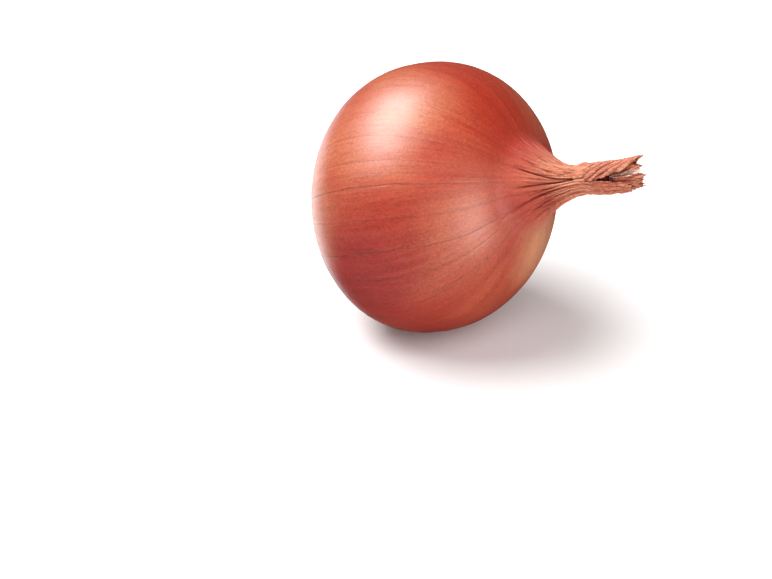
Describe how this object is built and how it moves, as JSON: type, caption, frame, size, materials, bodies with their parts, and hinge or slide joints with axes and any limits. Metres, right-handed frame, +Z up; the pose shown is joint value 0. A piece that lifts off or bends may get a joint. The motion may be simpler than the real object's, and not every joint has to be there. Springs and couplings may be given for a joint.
{
  "type": "onion",
  "caption": "Whole brown-red onion lying on its side, with a pleated dried neck, torn leaf tips and a dry root tuft.",
  "frame": {"origin": "middle of the small flat spot that the onion rests on", "axes": "+X along the ground towards the neck, which rises 18 degrees; +Z up; the root tuft is on the -X side"},
  "size_m": [0.1028, 0.0756, 0.0745],
  "materials": {
    "skin": "glossy",
    "inner_leaf": "matte",
    "root": "matte"
  },
  "bodies": {
    "root": {"bulb": "skin", "inner_leaf_tips": "inner_leaf", "root_tuft": "root"}
  },
  "joints": []
}
